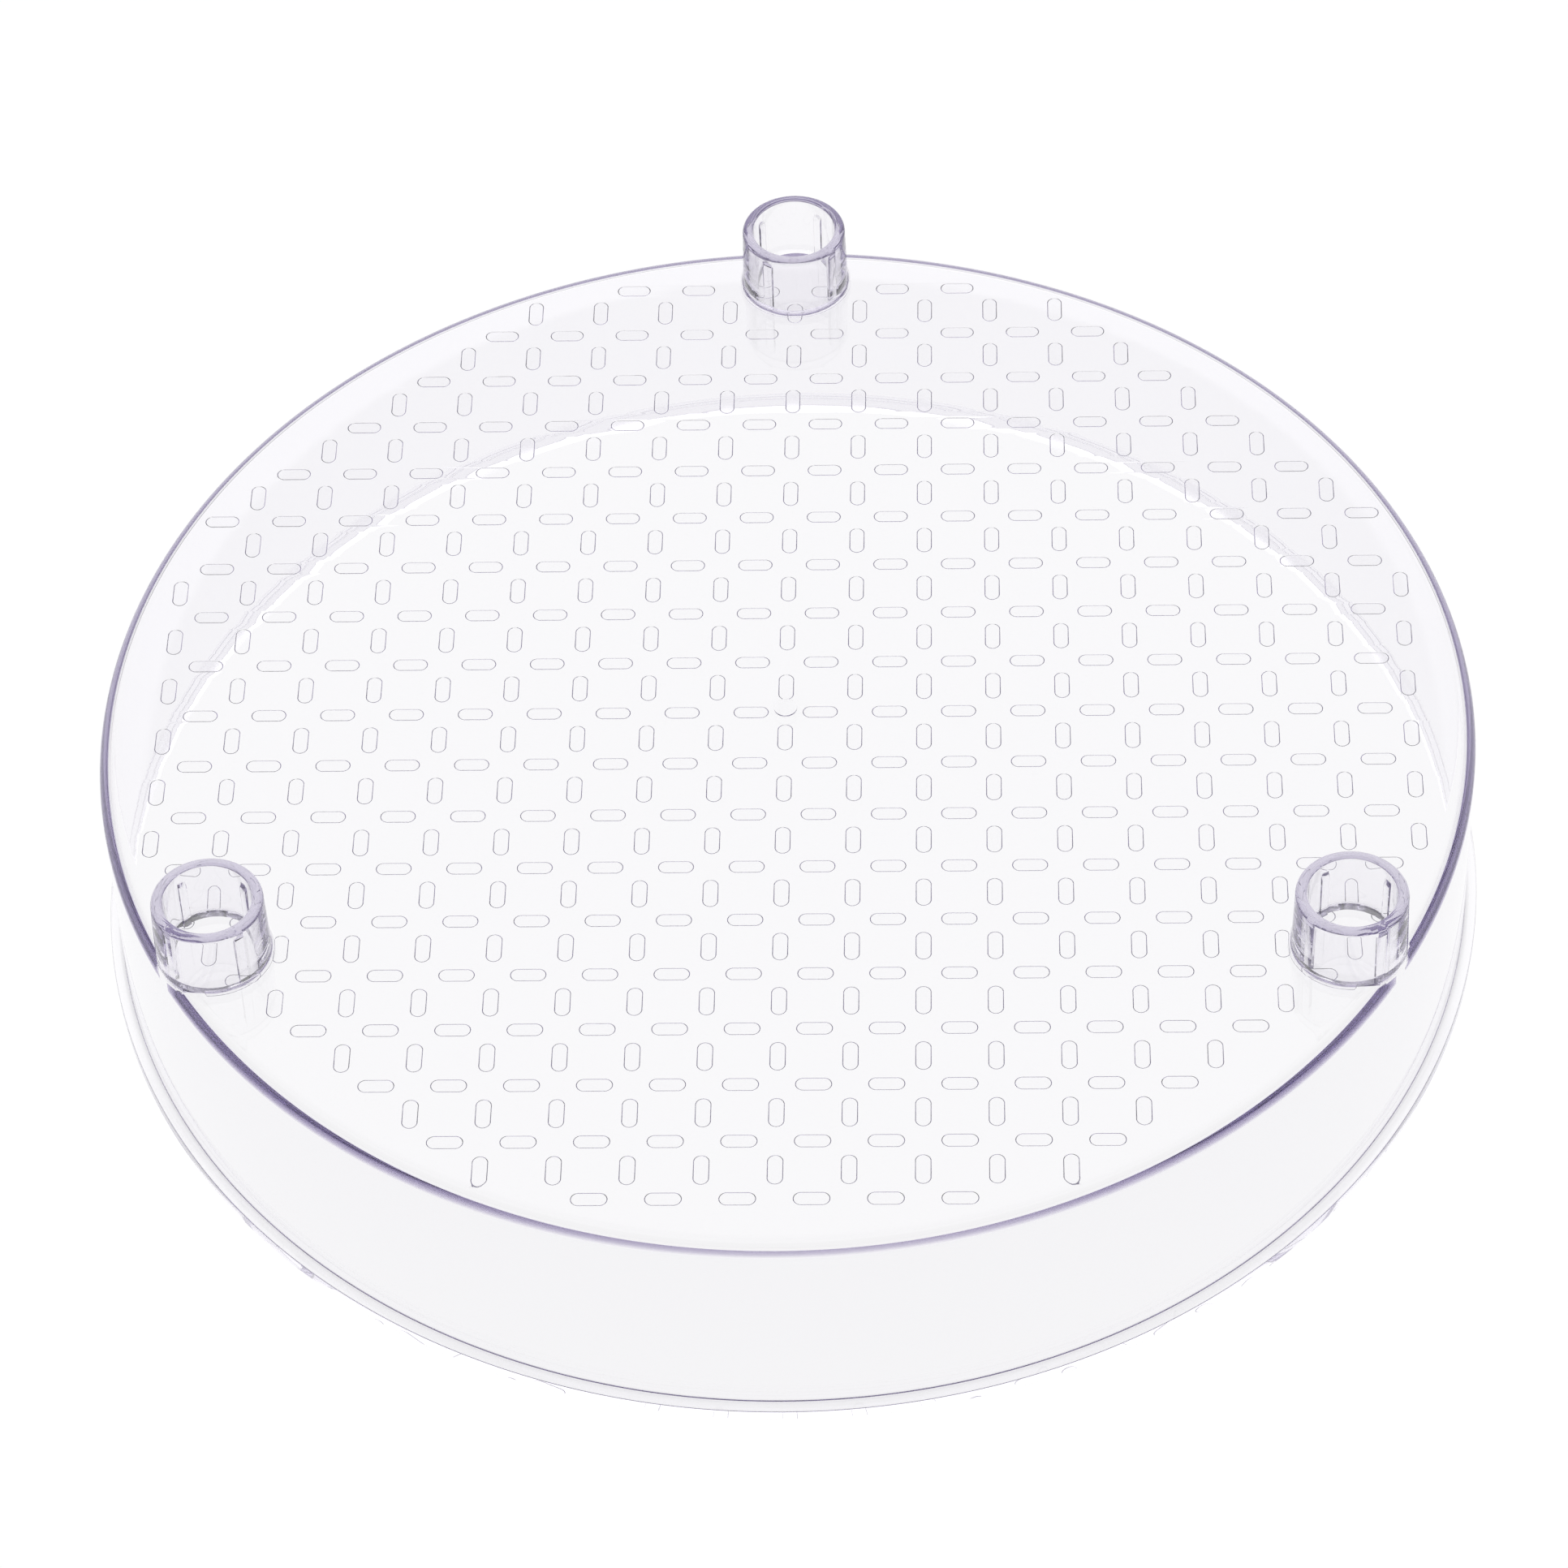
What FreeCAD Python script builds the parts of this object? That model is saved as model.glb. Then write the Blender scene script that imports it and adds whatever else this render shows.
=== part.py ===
"""Clear round stacking tray, standing floor side up, with three blind post sockets on its floor.

The row stands on the tray's rolled lip. Z is up, the origin is at the centre of the lip's bottom, and
the first socket is at the back, on +Y. The pieces are the moulded tray and the three sockets bonded to it.
"""
import FreeCAD
import Part

import math
import os

# Driving dimensions, in millimetres and degrees.
tray_height = 53.0            # lip bottom to the flat face that carries the sockets
floor_thickness = 2.3
wall_thickness = 2.6          # just under the floor
wall_foot_thickness = 2.2     # just above the lip: the mould's draft on both faces
rim_radius = 149.15           # outside of the wall, just under the rounded edge
wall_foot_radius = 149.3      # outside of the wall, just above the lip
rim_edge_radius = 4.8         # outer rounding between floor and wall
corner_fillet = 1.2           # inner rounding between floor and wall

lip_radius = 151.9
lip_thickness = 2.8
lip_edge_radius = 0.3
lip_root_fillet = 1.0

grid_half_pitch = 7.5         # the relief sits on a square grid of twice this
relief_length = 7.75
relief_width = 3.5
relief_height = 0.35
relief_field_radius = 18.9 * grid_half_pitch

gate_radius = 2.5             # the stub of the moulding gate, at the middle of the outer face
gate_height = 0.3

socket_count = 3
socket_first_angle = 90.0
socket_circle_radius = 137.1
socket_height = 16.3
socket_radius = 11.8          # outside, at the mouth
socket_foot_radius = 12.15    # outside, just above the foot's fillet
socket_bore_radius = 9.4      # of the smooth, parallel stretch under the mouth
socket_bore_foot_radius = 9.25    # at the blind floor: the ribbed stretch has draft
socket_edge_radius = 1.4      # outer rounding of the mouth
socket_mouth_radius = 0.9     # inner rounding of the mouth
socket_foot_fillet = 0.8
socket_foot_edge = 0.15

rib_count = 4
rib_width = 1.9
rib_depth = 0.55
rib_drop = 2.6                # the mouth's face down to the top of a rib
rib_lead_in = 0.9             # height of the sloped lead-in at a rib's top

socket_names = ["socket_back", "socket_front_left", "socket_front_right"]
rib_turns = [-55.0, -42.0, -34.0]    # where each socket's first rib stands, clockwise from +Y

UP = FreeCAD.Vector(0, 0, 1)
ORIGIN = FreeCAD.Vector(0, 0, 0)


def point(radius, height):
    """A point of a profile in the XZ plane."""
    return FreeCAD.Vector(radius, 0, height)


def line(start, end):
    return Part.LineSegment(start, end).toShape()


def rounding(start, centre, end):
    """The quarter arc from start to end about centre."""
    radius = (start - centre).Length
    middle = (start - centre) + (end - centre)
    middle.normalize()
    return Part.Arc(start, centre + middle * radius, end).toShape()


def turned(edges):
    """The solid that a closed profile makes when it is turned about Z."""
    face = Part.Face(Part.Wire(edges))
    return face.revolve(ORIGIN, UP, 360)


def tray_profile():
    """Half of the tray's section, from the axis outwards and back, as edges."""
    top = tray_height
    under = tray_height - floor_thickness
    inner_top = rim_radius - wall_thickness
    inner_foot = wall_foot_radius - wall_foot_thickness
    edge, fillet = rim_edge_radius, corner_fillet
    lip, root, nose = lip_thickness, lip_root_fillet, lip_edge_radius

    floor_end = point(rim_radius - edge, top)
    wall_start = point(rim_radius, top - edge)
    wall_end = point(wall_foot_radius, lip + root)
    lip_start = point(wall_foot_radius + root, lip)
    nose_start = point(lip_radius - nose, lip)
    nose_side = point(lip_radius, lip - nose)
    nose_low = point(lip_radius, nose)
    base_start = point(lip_radius - nose, 0)
    inner_low = point(inner_foot, 0)
    inner_high = point(inner_top, under - fillet)
    under_end = point(inner_top - fillet, under)

    return [
        line(point(0, top), floor_end),
        rounding(floor_end, point(rim_radius - edge, top - edge), wall_start),
        line(wall_start, wall_end),
        rounding(wall_end, point(wall_foot_radius + root, lip + root), lip_start),
        line(lip_start, nose_start),
        rounding(nose_start, point(lip_radius - nose, lip - nose), nose_side),
        line(nose_side, nose_low),
        rounding(nose_low, point(lip_radius - nose, nose), base_start),
        line(base_start, inner_low),
        line(inner_low, inner_high),
        rounding(inner_high, point(inner_top - fillet, under - fillet), under_end),
        line(under_end, point(0, under)),
        line(point(0, under), point(0, top)),
    ]


def relief_pad(x, y, along_y):
    """One raised pad of the relief: a slot shape with round ends, on the floor's inner face."""
    half_straight = (relief_length - relief_width) / 2
    radius = relief_width / 2
    low = -relief_height
    high = floor_thickness / 4
    right_top = FreeCAD.Vector(half_straight, radius, low)
    left_top = FreeCAD.Vector(-half_straight, radius, low)
    left_tip = FreeCAD.Vector(-half_straight - radius, 0, low)
    left_bottom = FreeCAD.Vector(-half_straight, -radius, low)
    right_bottom = FreeCAD.Vector(half_straight, -radius, low)
    right_tip = FreeCAD.Vector(half_straight + radius, 0, low)
    outline = Part.Wire([
        line(right_top, left_top),
        Part.Arc(left_top, left_tip, left_bottom).toShape(),
        line(left_bottom, right_bottom),
        Part.Arc(right_bottom, right_tip, right_top).toShape(),
    ])
    pad = Part.Face(outline).extrude(UP * (high - low))
    if along_y:
        pad.rotate(ORIGIN, UP, 90)
    pad.translate(FreeCAD.Vector(x, y, tray_height - floor_thickness))
    return pad


def relief_pads():
    """Pads turned by a quarter from one grid place to the next, over the whole floor."""
    reach = int(relief_field_radius / grid_half_pitch) + 1
    pads = []
    for column in range(-reach, reach + 1):
        for row in range(-reach, reach + 1):
            x = column * grid_half_pitch
            y = row * grid_half_pitch
            filled = (column + row) % 2 == 1
            if filled and math.hypot(x, y) <= relief_field_radius:
                pads.append(relief_pad(x, y, along_y=column % 2 == 0))
    return pads


def socket_centre(index, height):
    angle = math.radians(socket_first_angle + index * 360 / socket_count)
    return FreeCAD.Vector(
        socket_circle_radius * math.cos(angle), socket_circle_radius * math.sin(angle), height
    )


def socket_seats():
    """The square corners that carry the sockets where the rim is rounded everywhere else."""
    edge_start = point(rim_radius - rim_edge_radius, tray_height)
    corner = point(rim_radius, tray_height)
    edge_end = point(rim_radius, tray_height - rim_edge_radius)
    corner_ring = turned([line(edge_start, corner), line(corner, edge_end), line(edge_end, edge_start)])
    seats = []
    for index in range(socket_count):
        foot = socket_centre(index, tray_height - rim_edge_radius)
        column = Part.makeCylinder(socket_foot_radius, rim_edge_radius, foot)
        seats.append(corner_ring.common(column))
    return seats


def make_tray():
    """Floor, wall and lip in one, with the socket seats, the relief and the gate's stub."""
    tray = turned(tray_profile())
    gate = Part.makeCylinder(gate_radius, gate_height + 0.5, FreeCAD.Vector(0, 0, tray_height - 0.5))
    return tray.multiFuse(socket_seats() + [gate] + relief_pads())


def make_socket(index):
    """A blind tube with a rolled mouth and upright crush ribs. Its foot flares out on the flat floor only."""
    top = socket_height
    edge, mouth = socket_edge_radius, socket_mouth_radius
    flare, skirt = socket_foot_fillet, socket_foot_edge
    mouth_end = point(socket_radius - edge, top)
    side_start = point(socket_radius, top - edge)
    side_end = point(socket_foot_radius, skirt + flare)
    foot_top = point(socket_foot_radius + flare, skirt)
    foot_low = point(socket_foot_radius + flare, 0)
    bore_low = point(socket_bore_foot_radius, 0)
    bore_break = point(socket_bore_radius, top - rib_drop)
    bore_high = point(socket_bore_radius, top - mouth)
    mouth_start = point(socket_bore_radius + mouth, top)
    tube = turned([
        line(mouth_start, mouth_end),
        rounding(mouth_end, point(socket_radius - edge, top - edge), side_start),
        line(side_start, side_end),
        rounding(side_end, point(socket_foot_radius + flare, skirt + flare), foot_top),
        line(foot_top, foot_low),
        line(foot_low, bore_low),
        line(bore_low, bore_break),
        line(bore_break, bore_high),
        rounding(bore_high, point(socket_bore_radius + mouth, top - mouth), mouth_start),
    ])

    ribs = []
    rib_top = top - rib_drop
    inside = socket_bore_radius - rib_depth
    outside = socket_bore_radius + rib_depth
    for number in range(rib_count):
        side = Part.makePolygon([
            FreeCAD.Vector(inside, -rib_width / 2, 0),
            FreeCAD.Vector(outside, -rib_width / 2, 0),
            FreeCAD.Vector(outside, -rib_width / 2, rib_top),
            FreeCAD.Vector(socket_bore_radius, -rib_width / 2, rib_top),
            FreeCAD.Vector(inside, -rib_width / 2, rib_top - rib_lead_in),
            FreeCAD.Vector(inside, -rib_width / 2, 0),
        ])
        rib = Part.Face(side).extrude(FreeCAD.Vector(0, rib_width, 0))
        rib.rotate(ORIGIN, UP, 90 - rib_turns[index] - number * 360 / rib_count)
        ribs.append(rib)
    socket = tube.multiFuse(ribs)
    socket.translate(socket_centre(index, tray_height))
    tall = tray_height + socket_height
    seat = Part.makeCylinder(socket_foot_radius, tall, socket_centre(index, 0))
    flat_floor = Part.makeCylinder(rim_radius - rim_edge_radius, tall)
    inside_rim = Part.makeCylinder(rim_radius, tall)
    return socket.common(flat_floor.fuse(seat)).common(inside_rim)


def save(shape, name):
    """Writes one node, after a check that it is one sound solid."""
    solid = shape.removeSplitter()
    print(name, "solids", len(solid.Solids), "valid", solid.isValid(), "cm3", round(solid.Volume / 1000, 2))
    solid.Solids[0].exportStep(os.path.join("parts", name + ".step"))


os.makedirs("parts", exist_ok=True)
save(make_tray(), "tray_shell")
for place, socket_name in enumerate(socket_names):
    save(make_socket(place), socket_name)
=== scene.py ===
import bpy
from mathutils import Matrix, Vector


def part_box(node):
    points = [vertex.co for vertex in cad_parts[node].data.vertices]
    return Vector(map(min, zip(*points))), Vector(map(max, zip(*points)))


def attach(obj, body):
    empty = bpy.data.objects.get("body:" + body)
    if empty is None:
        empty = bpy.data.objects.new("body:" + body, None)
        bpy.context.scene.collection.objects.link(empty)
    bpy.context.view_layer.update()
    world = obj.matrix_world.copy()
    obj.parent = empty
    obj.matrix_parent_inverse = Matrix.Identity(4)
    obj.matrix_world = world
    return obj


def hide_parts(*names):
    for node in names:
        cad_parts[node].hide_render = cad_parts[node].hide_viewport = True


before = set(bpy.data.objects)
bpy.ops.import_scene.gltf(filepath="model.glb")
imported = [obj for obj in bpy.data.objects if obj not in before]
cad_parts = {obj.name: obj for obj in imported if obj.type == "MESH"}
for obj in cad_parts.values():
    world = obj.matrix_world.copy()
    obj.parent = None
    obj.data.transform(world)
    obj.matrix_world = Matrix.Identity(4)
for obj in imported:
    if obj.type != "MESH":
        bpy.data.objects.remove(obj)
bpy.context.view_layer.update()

import math

import bpy
from mathutils import Matrix, Vector

MM = 0.001

# ---------------------------------------------------------------- View
# A long lens, a little right of the middle, looks down on the floor of the tray at under 50 degrees.
# It is aimed at a point in front of the tray's middle and is rolled by a small angle.
floor_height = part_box("tray_shell")[1][2]
aim = Vector((0, -21.3 * MM, floor_height - 1.5 * MM))
look_down = math.radians(47.22)
look_left = math.radians(2.742)
roll = math.radians(-2.399)
distance = 1.2809

camera_data = bpy.data.cameras.new("camera")
camera_data.lens = 137.08
camera_data.sensor_width = 36
camera_data.clip_start = 0.05
camera_data.clip_end = 60
camera = bpy.data.objects.new("camera", camera_data)
bpy.context.scene.collection.objects.link(camera)
turn = (
    Matrix.Rotation(look_left, 3, "Z")
    @ Matrix.Rotation(math.pi / 2 - look_down, 3, "X")
    @ Matrix.Rotation(roll, 3, "Z")
)
camera.rotation_euler = turn.to_euler()
camera.location = aim - turn @ Vector((0, 0, -1)) * distance
bpy.context.scene.camera = camera

# ---------------------------------------------------------------- Table and light
# A bright seamless table and an even white tent of light, so that the clear plastic shows by its
# own edges. The tent is less bright overhead than the table, and has darker seams near its foot.
# The table is not one plain level: it carries a painted shadow, a little darker under the tray and in the
# strip behind it that the camera sees only through the wall. From other sides that painted shadow shows
# as a faint grey patch.
scene = bpy.context.scene
scene.view_settings.view_transform = "Standard"
scene.view_settings.look = "None"
scene.view_settings.exposure = 0
scene.view_settings.gamma = 1
scene.cycles.max_bounces = 256
scene.cycles.transmission_bounces = 256
scene.cycles.glossy_bounces = 256

bpy.ops.mesh.primitive_circle_add(vertices=96, radius=12, fill_type="NGON", location=(0, 0, -0.2 * MM))
table = bpy.context.object
table.name = "table"
table_with_painted_shadow = bpy.data.materials.new("table_with_painted_shadow")
table_with_painted_shadow.use_nodes = True
nodes, links = table_with_painted_shadow.node_tree.nodes, table_with_painted_shadow.node_tree.links
nodes.clear()
# Painted shadow on the table: its emission is lowered within reach of the tray and of the strip behind
# it.
tray_reach, strip_length = 0.149, 0.046
place = nodes.new("ShaderNodeTexCoord")
along = nodes.new("ShaderNodeVectorMath")
along.operation = "MINIMUM"
along.inputs[1].default_value = (0, strip_length, 0)
behind = nodes.new("ShaderNodeVectorMath")
behind.operation = "MAXIMUM"
behind.inputs[1].default_value = (0, 0, 0)
shade = nodes.new("ShaderNodeVectorMath")
shade.operation = "SUBTRACT"
spread = nodes.new("ShaderNodeVectorMath")
spread.operation = "LENGTH"
level = nodes.new("ShaderNodeMapRange")
level.interpolation_type = "SMOOTHSTEP"
level.inputs["From Min"].default_value = tray_reach
level.inputs["From Max"].default_value = tray_reach + 0.003
level.inputs["To Min"].default_value = 0.945
level.inputs["To Max"].default_value = 1.01
glow = nodes.new("ShaderNodeEmission")
links.new(place.outputs["Object"], along.inputs[0])
links.new(along.outputs[0], behind.inputs[0])
links.new(place.outputs["Object"], shade.inputs[0])
links.new(behind.outputs[0], shade.inputs[1])
links.new(shade.outputs[0], spread.inputs[0])
links.new(spread.outputs["Value"], level.inputs["Value"])
links.new(level.outputs[0], glow.inputs["Strength"])
table_out = nodes.new("ShaderNodeOutputMaterial")
links.new(glow.outputs[0], table_out.inputs["Surface"])
table.data.materials.append(table_with_painted_shadow)

world = bpy.data.worlds.new("tent")
scene.world = world
world.use_nodes = True
nodes, links = world.node_tree.nodes, world.node_tree.links
sky = nodes["Background"]
place = nodes.new("ShaderNodeTexCoord")
split = nodes.new("ShaderNodeSeparateXYZ")
ramp = nodes.new("ShaderNodeValToRGB")
panel = nodes.new("ShaderNodeVectorMath")
panel.operation = "DOT_PRODUCT"
panel.inputs[1].default_value = (0.05, 0.68, 0.73)
spill = nodes.new("ShaderNodeMapRange")
spill.interpolation_type = "SMOOTHSTEP"
spill.inputs["From Min"].default_value = 0.6
spill.inputs["From Max"].default_value = 0.95
spill.inputs["To Max"].default_value = 0.55
add = nodes.new("ShaderNodeMath")
links.new(place.outputs["Generated"], split.inputs[0])
links.new(place.outputs["Generated"], panel.inputs[0])
links.new(panel.outputs["Value"], spill.inputs["Value"])
links.new(split.outputs["Z"], ramp.inputs["Fac"])
links.new(ramp.outputs["Color"], add.inputs[0])
links.new(spill.outputs[0], add.inputs[1])
links.new(add.outputs[0], sky.inputs["Color"])
tent = [(0.0, 0.35), (0.15, 0.42), (0.35, 0.68), (0.70, 0.80), (1.0, 0.80)]
while len(ramp.color_ramp.elements) < len(tent):
    ramp.color_ramp.elements.new(0.5)
for stop, (height, level) in zip(ramp.color_ramp.elements, tent):
    stop.position = height
    stop.color = (level, level, level, 1)
sky.inputs["Strength"].default_value = 1.0

# ---------------------------------------------------------------- Tray
# Floor, wall and lip in one moulding of clear styrene with a faint violet tint; the floor is 2.3 mm
# thick. The floor's inner face, underneath here, has a low relief of slot-shaped pads, each a
# quarter turn from the next.
lip_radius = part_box("tray_shell")[1][0]
gate_height = 0.3 * MM
top = floor_height - gate_height
floor_thickness = 2.3 * MM
under = top - floor_thickness
rim_radius = lip_radius - 2.75 * MM
foot_radius = lip_radius - 2.6 * MM
wall, foot_wall = 2.6 * MM, 2.2 * MM
rim_edge = 4.8 * MM
corner_fillet = 1.2 * MM
lip_thickness = 2.8 * MM
lip_nose = 0.3 * MM
lip_root = 1.0 * MM
heel = 0.4 * MM
flat_radius = rim_radius - wall - corner_fillet
sides = 384


def quarter(centre, height, radius, start, end, steps):
    """Points (radius, height) of an arc about (centre, height), from after start to end, in degrees."""
    points = []
    for step in range(1, steps + 1):
        angle = math.radians(start + (end - start) * step / steps)
        points.append((centre + radius * math.cos(angle), height + radius * math.sin(angle)))
    return points


def draw_rings(profile, radius, height):
    """Extrudes the selected ring through each point of a profile. The last ring stays selected."""
    for next_radius, next_height in profile:
        scale = next_radius / radius
        bpy.ops.mesh.extrude_region_move()
        bpy.ops.transform.resize(value=(scale, scale, 1))
        bpy.ops.transform.translate(value=(0, 0, next_height - height))
        radius, height = next_radius, next_height


bpy.ops.object.select_all(action="DESELECT")
bpy.ops.mesh.primitive_circle_add(vertices=sides, radius=flat_radius, location=(0, 0, under))
bpy.ops.object.transform_apply(location=True, rotation=True, scale=True)
tray = bpy.context.object
tray.name = "clear_tray"
profile = quarter(flat_radius, under - corner_fillet, corner_fillet, 90, 0, 8)
profile += quarter(foot_radius - foot_wall + heel, heel, heel, 180, 270, 4)
profile += [(lip_radius - lip_nose - 0.05 * MM, 0)]
profile += quarter(lip_radius - lip_nose, lip_nose, lip_nose, -90, 0, 6)
profile += quarter(lip_radius - lip_nose, lip_thickness - lip_nose, lip_nose, 0, 90, 6)
profile += [(foot_radius + lip_root, lip_thickness)]
profile += quarter(foot_radius + lip_root, lip_thickness + lip_root, lip_root, 270, 180, 6)
profile += [(rim_radius, top - rim_edge)]
profile += quarter(rim_radius - rim_edge, top - rim_edge, rim_edge, 0, 90, 16)
bpy.ops.object.mode_set(mode="EDIT")
bpy.ops.mesh.select_all(action="SELECT")
draw_rings(profile, flat_radius, under)
bpy.ops.mesh.edge_face_add()
bpy.ops.mesh.select_all(action="DESELECT")
bpy.ops.mesh.select_non_manifold()
bpy.ops.mesh.edge_face_add()
bpy.ops.mesh.select_all(action="SELECT")
bpy.ops.mesh.normals_make_consistent(inside=False)
bpy.ops.object.mode_set(mode="OBJECT")


def boolean(piece, tool, operation):
    """Applies one boolean of a closed tool on a closed piece and removes the tool."""
    bpy.ops.object.select_all(action="DESELECT")
    piece.select_set(True)
    bpy.context.view_layer.objects.active = piece
    cut = piece.modifiers.new("cut", "BOOLEAN")
    cut.operation = operation
    cut.solver = "EXACT"
    cut.object = tool
    bpy.ops.object.modifier_apply(modifier="cut")
    bpy.data.objects.remove(tool)


def cylinder(radius, low, high, x=0.0, y=0.0, sides=128):
    bpy.ops.object.select_all(action="DESELECT")
    bpy.ops.mesh.primitive_cylinder_add(
        vertices=sides, radius=radius, depth=high - low, location=(x, y, (low + high) / 2)
    )
    bpy.ops.object.transform_apply(location=True, rotation=True, scale=True)
    return bpy.context.object


# Where a socket stands, the rounded edge is filled up to a square corner that carries it. The stub of
# the moulding gate stands at the middle of the outer face. The corner is a hair inside the tray's own
# faces, so that no two faces lie in one plane.
circle_radius = 137.1 * MM
socket_foot = 12.15 * MM
hair = 0.02 * MM
corner_top = top - hair
bpy.ops.object.select_all(action="DESELECT")
bpy.ops.mesh.primitive_circle_add(
    vertices=sides, radius=rim_radius - rim_edge, location=(0, 0, corner_top)
)
bpy.ops.object.transform_apply(location=True, rotation=True, scale=True)
seats = bpy.context.object
bpy.ops.object.mode_set(mode="EDIT")
bpy.ops.mesh.select_all(action="SELECT")
corner_ring = [(rim_radius - hair, corner_top), (rim_radius - hair, top - rim_edge)]
draw_rings(corner_ring, rim_radius - rim_edge, corner_top)
bpy.ops.mesh.select_all(action="DESELECT")
bpy.ops.mesh.select_non_manifold()
bpy.ops.mesh.bridge_edge_loops()
bpy.ops.mesh.select_all(action="SELECT")
bpy.ops.mesh.normals_make_consistent(inside=False)
bpy.ops.object.mode_set(mode="OBJECT")
columns = []
for bearing in [90, 210, 330]:
    x = circle_radius * math.cos(math.radians(bearing))
    y = circle_radius * math.sin(math.radians(bearing))
    columns.append(cylinder(socket_foot, 0, 2 * top, x, y))
for column in columns:
    column.select_set(True)
bpy.ops.object.join()
boolean(seats, columns[-1], "INTERSECT")
boolean(tray, seats, "UNION")
gate_radius, gate_root = 2.5 * MM, 0.5 * MM
boolean(tray, cylinder(gate_radius, top - gate_root, top + gate_height, sides=48), "UNION")

# The relief, set into the floor's inner face.
bpy.ops.object.mode_set(mode="EDIT")
bpy.ops.mesh.select_mode(type="FACE")
bpy.ops.mesh.select_all(action="DESELECT")
bpy.ops.object.mode_set(mode="OBJECT")
for face in tray.data.polygons:
    face.select = face.center.z < under + hair and face.area > 0.01
bpy.ops.object.mode_set(mode="EDIT")
bpy.ops.mesh.delete(type="ONLY_FACE")
bpy.ops.mesh.select_mode(type="VERT")
bpy.ops.object.mode_set(mode="OBJECT")
half_pitch = 7.5 * MM
pad_length, pad_width = 7.75 * MM, 3.5 * MM
bpy.ops.object.select_all(action="DESELECT")
bpy.ops.mesh.primitive_circle_add(
    vertices=18, radius=pad_width / 2, fill_type="NGON", rotation=(0, 0, math.radians(10))
)
pad = bpy.context.object
pad.name = "pad"
bpy.ops.object.transform_apply(location=False, rotation=True, scale=False)
stretch = (pad_length - pad_width) / 2
for corner in pad.data.vertices:
    corner.co.x += math.copysign(stretch, corner.co.x)
bpy.ops.object.mode_set(mode="EDIT")
bpy.ops.mesh.select_all(action="SELECT")
for thickness, depth in [(0.08, 0.03), (0.05, 0.07), (0.04, 0.14), (0.05, 0.07), (0.08, 0.03)]:
    bpy.ops.mesh.inset(thickness=thickness * MM, depth=depth * MM)
bpy.ops.object.mode_set(mode="OBJECT")

pads = []
reach = 19
field_radius = 18.9 * half_pitch
for column in range(-reach, reach + 1):
    for row in range(-reach, reach + 1):
        x, y = column * half_pitch, row * half_pitch
        if (column + row) % 2 == 1 and math.hypot(x, y) <= field_radius:
            copy = pad.copy()
            copy.data = pad.data.copy()
            quarter_turn = math.pi / 2 if column % 2 == 0 else 0
            copy.data.transform(Matrix.Rotation(math.pi, 4, "X"))
            copy.data.transform(Matrix.Translation((x, y, under)) @ Matrix.Rotation(quarter_turn, 4, "Z"))
            bpy.context.scene.collection.objects.link(copy)
            pads.append(copy)
bpy.data.objects.remove(pad)

# Two faint round marks of the mould's ejector pins, on the same face.
mark_radius, mark_edge = 4.1 * MM, 0.20 * MM
for x, y in [(-9 * half_pitch, 7 * half_pitch), (9 * half_pitch, -7 * half_pitch)]:
    bpy.ops.object.select_all(action="DESELECT")
    bpy.ops.mesh.primitive_circle_add(
        vertices=40, radius=mark_radius, fill_type="NGON",
        location=(x, y, under), rotation=(math.pi, 0, 0),
    )
    bpy.ops.object.transform_apply(location=True, rotation=True, scale=True)
    mark = bpy.context.object
    bpy.ops.object.mode_set(mode="EDIT")
    bpy.ops.mesh.select_all(action="SELECT")
    bpy.ops.mesh.inset(thickness=mark_edge, depth=0.03 * MM)
    bpy.ops.mesh.inset(thickness=mark_edge, depth=0)
    bpy.ops.object.mode_set(mode="OBJECT")
    pads.append(mark)

bpy.ops.object.select_all(action="DESELECT")
for copy in pads:
    copy.select_set(True)
bpy.context.view_layer.objects.active = pads[0]
bpy.ops.object.join()
# Pads that reach past the flat part of the floor are drawn back to its edge.
for corner in bpy.context.object.data.vertices:
    away = math.hypot(corner.co.x, corner.co.y)
    limit = flat_radius - 0.1 * MM - (under - corner.co.z)
    if away > limit:
        corner.co.x *= limit / away
        corner.co.y *= limit / away
tray.select_set(True)
bpy.context.view_layer.objects.active = tray
bpy.ops.object.join()
bpy.ops.object.mode_set(mode="EDIT")
bpy.ops.mesh.select_mode(type="EDGE")
bpy.ops.mesh.select_all(action="DESELECT")
bpy.ops.mesh.select_non_manifold()
bpy.ops.mesh.fill(use_beauty=False)
bpy.ops.mesh.select_all(action="SELECT")
bpy.ops.mesh.normals_make_consistent(inside=False)
bpy.ops.object.mode_set(mode="OBJECT")

def smooth(piece, angle=50):
    bpy.ops.object.select_all(action="DESELECT")
    piece.select_set(True)
    bpy.context.view_layer.objects.active = piece
    bpy.ops.object.shade_smooth_by_angle(angle=math.radians(angle))
    weighted = piece.modifiers.new("weighted", "WEIGHTED_NORMAL")
    weighted.keep_sharp = True
    bpy.ops.object.modifier_apply(modifier="weighted")


smooth(tray)


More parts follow.
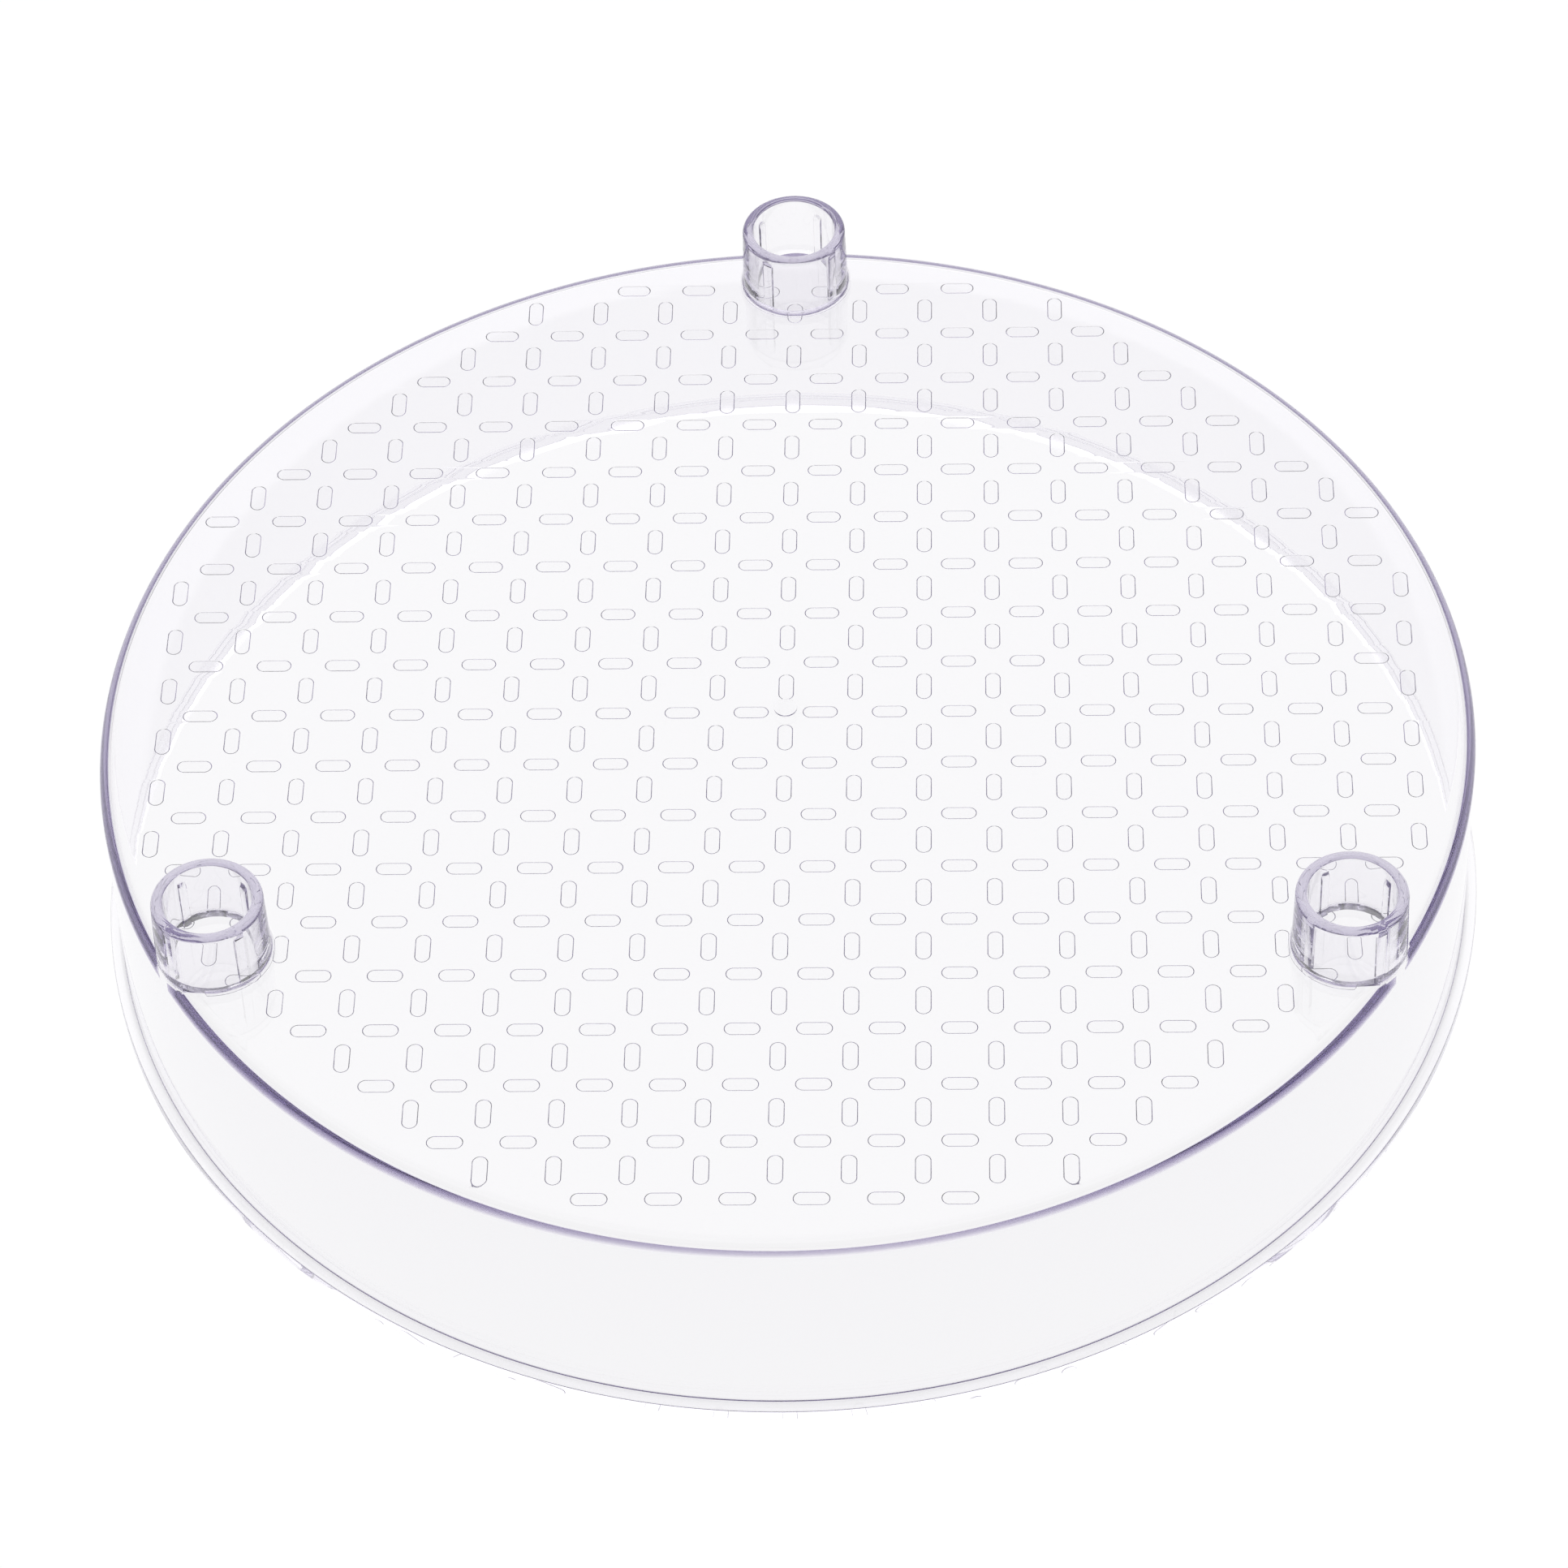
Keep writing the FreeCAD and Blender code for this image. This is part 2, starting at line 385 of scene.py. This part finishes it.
def clear_plastic(name, density):
    """Clear styrene with a violet tint that shows along the edges, where light runs a long way in it.

    Its faces are polished, except the pads' faces and the blush round the gate.
    """
    material = bpy.data.materials.new(name)
    material.use_nodes = True
    nodes, links = material.node_tree.nodes, material.node_tree.links
    shader = nodes["Principled BSDF"]
    shader.inputs["Base Color"].default_value = (1, 1, 1, 1)
    shader.inputs["Transmission Weight"].default_value = 1
    shader.inputs["IOR"].default_value = 1.57
    place = nodes.new("ShaderNodeTexCoord")
    split = nodes.new("ShaderNodeSeparateXYZ")
    links.new(place.outputs["Object"], split.inputs[0])
    pad_face = nodes.new("ShaderNodeMath")
    pad_face.operation = "COMPARE"
    pad_face.inputs[1].default_value = under - 0.34 * MM
    pad_face.inputs[2].default_value = 0.02 * MM
    links.new(split.outputs["Z"], pad_face.inputs[0])
    frost = nodes.new("ShaderNodeMath")
    frost.operation = "MULTIPLY"
    frost.inputs[1].default_value = 0.10
    links.new(pad_face.outputs[0], frost.inputs[0])
    middle = nodes.new("ShaderNodeVectorMath")
    middle.operation = "DISTANCE"
    middle.inputs[1].default_value = (0, 0, top)
    links.new(place.outputs["Object"], middle.inputs[0])
    blush = nodes.new("ShaderNodeMapRange")
    blush.inputs["From Min"].default_value = 7.0 * MM
    blush.inputs["From Max"].default_value = 1.5 * MM
    blush.inputs["To Max"].default_value = 0.16
    links.new(middle.outputs["Value"], blush.inputs["Value"])
    grain = nodes.new("ShaderNodeTexNoise")
    grain.inputs["Scale"].default_value = 60
    grain.inputs["Detail"].default_value = 3
    links.new(place.outputs["Object"], grain.inputs["Vector"])
    haze = nodes.new("ShaderNodeMapRange")
    haze.inputs["From Min"].default_value = 0.45
    haze.inputs["From Max"].default_value = 0.80
    haze.inputs["To Max"].default_value = 0.03
    links.new(grain.outputs["Fac"], haze.inputs["Value"])
    first = nodes.new("ShaderNodeMath")
    second = nodes.new("ShaderNodeMath")
    links.new(frost.outputs[0], first.inputs[0])
    links.new(blush.outputs[0], first.inputs[1])
    links.new(first.outputs[0], second.inputs[0])
    links.new(haze.outputs[0], second.inputs[1])
    links.new(second.outputs[0], shader.inputs["Roughness"])
    tint = nodes.new("ShaderNodeVolumeAbsorption")
    tint.inputs["Color"].default_value = (0.20, 0.10, 0.43, 1)
    tint.inputs["Density"].default_value = density
    links.new(tint.outputs[0], nodes["Material Output"].inputs["Volume"])
    return material


tray.data.materials.clear()
tray.data.materials.append(clear_plastic("clear_tray", 20))
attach(tray, "root")
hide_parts("tray_shell")

# ---------------------------------------------------------------- Sockets
# Three blind tubes that take posts, bonded to the outside of the floor with their backs flush with
# the wall. Each has a rolled mouth, a flared foot and four upright crush ribs in its bore.
sockets = [("socket_back", 90, -55), ("socket_front_left", 210, -42), ("socket_front_right", 330, -34)]
outer, bore, bore_foot = 11.8 * MM, 9.4 * MM, 9.25 * MM
socket_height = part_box("socket_back")[1][2] - top
mouth = top + socket_height
mouth_edge, mouth_radius = 1.4 * MM, 0.9 * MM
foot_fillet, foot_edge = 0.8 * MM, 0.15 * MM
embed = 0.05 * MM
rib_width, rib_depth = 1.9 * MM, 0.55 * MM
rib_top = mouth - 2.6 * MM
lead_in = 0.9 * MM

for name, bearing, rib_turn in sockets:
    x = circle_radius * math.cos(math.radians(bearing))
    y = circle_radius * math.sin(math.radians(bearing))
    bpy.ops.object.select_all(action="DESELECT")
    bpy.ops.mesh.primitive_circle_add(vertices=128, radius=bore_foot, location=(x, y, top - embed))
    bpy.ops.object.transform_apply(location=True, rotation=True, scale=True)
    socket = bpy.context.object
    socket.name = "clear_" + name
    profile = [(bore, rib_top), (bore, mouth - mouth_radius)]
    profile += quarter(bore + mouth_radius, mouth - mouth_radius, mouth_radius, 180, 90, 8)
    profile += quarter(outer - mouth_edge, mouth - mouth_edge, mouth_edge, 90, 0, 10)
    profile += [(socket_foot, top + foot_edge + foot_fillet)]
    profile += quarter(socket_foot + foot_fillet, top + foot_edge + foot_fillet, foot_fillet, 180, 270, 6)
    profile += [(socket_foot + foot_fillet, top - embed)]
    bpy.ops.object.mode_set(mode="EDIT")
    bpy.ops.mesh.select_all(action="SELECT")
    draw_rings(profile, bore_foot, top - embed)
    bpy.ops.mesh.select_all(action="DESELECT")
    bpy.ops.mesh.select_non_manifold()
    bpy.ops.mesh.bridge_edge_loops()
    bpy.ops.mesh.select_all(action="SELECT")
    bpy.ops.mesh.normals_make_consistent(inside=False)
    bpy.ops.object.mode_set(mode="OBJECT")

    # Four ribs, each with a sloped lead-in at its top.
    for number in range(4):
        bpy.ops.object.select_all(action="DESELECT")
        bpy.ops.mesh.primitive_cube_add(size=1)
        rib = bpy.context.object
        height = rib_top - top + embed
        for corner in rib.data.vertices:
            inner = corner.co.x < 0
            upper = corner.co.z > 0
            corner.co.x = bore - rib_depth if inner else bore + rib_depth
            corner.co.y *= rib_width
            corner.co.z = top - embed
            if upper:
                corner.co.z += height - 2 * lead_in if inner else height
        turn = math.radians(90 - rib_turn - number * 90)
        rib.data.transform(Matrix.Translation((x, y, 0)) @ Matrix.Rotation(turn, 4, "Z"))
        boolean(socket, rib, "UNION")

    # The foot flares out on the flat floor only. Over the rounded edge it is cut back to the seat.
    keep = cylinder(rim_radius - rim_edge, 0, 2 * top, sides=sides)
    boolean(keep, cylinder(socket_foot + 0.01 * MM, 0, 2 * top, x, y), "UNION")
    boolean(keep, cylinder(rim_radius, 0.001, 2 * top - 0.001, sides=sides), "INTERSECT")
    boolean(socket, keep, "INTERSECT")
    smooth(socket, angle=35)
    socket.data.materials.clear()
    socket.data.materials.append(clear_plastic("clear_" + name, 24))
    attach(socket, "root")
    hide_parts(name)
